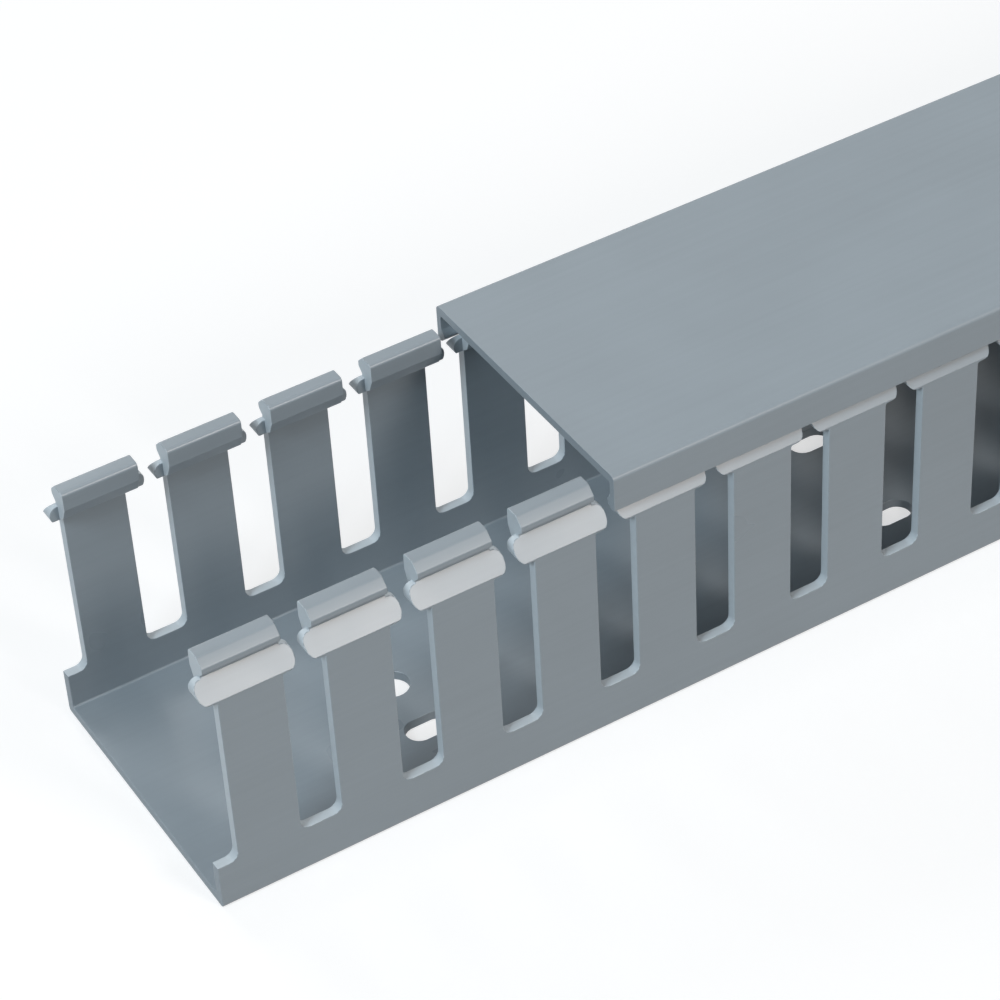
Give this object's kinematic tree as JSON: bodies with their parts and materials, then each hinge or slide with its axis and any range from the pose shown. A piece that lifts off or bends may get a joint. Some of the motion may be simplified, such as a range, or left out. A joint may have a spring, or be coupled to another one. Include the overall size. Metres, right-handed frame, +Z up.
{
  "type": "slotted wiring duct with cover",
  "caption": "Grey plastic wiring duct with open slots, T-headed fingers and a clip-on cover that slides along the finger heads.",
  "frame": {"origin": "middle of the trunk's underside, which is the middle of its screw hole pattern", "axes": "+X along the duct towards the end that the cover overhangs, +Y across it, +Z up out of the open side of the trunk"},
  "size_m": [0.58, 0.058, 0.0558],
  "materials": {
    "duct_pvc": "smooth extruded, low sheen",
    "cover_pvc": "smooth extruded, low sheen"
  },
  "bodies": {
    "duct_base": {"duct_base": "duct_pvc"},
    "duct_cover": {"duct_cover": "cover_pvc"}
  },
  "joints": [
    {"name": "cover_slide", "type": "slide", "parent": "duct_base", "child": "duct_cover", "axis": [1, 0, 0], "range_m": [-0.08, 0.38]}
  ]
}
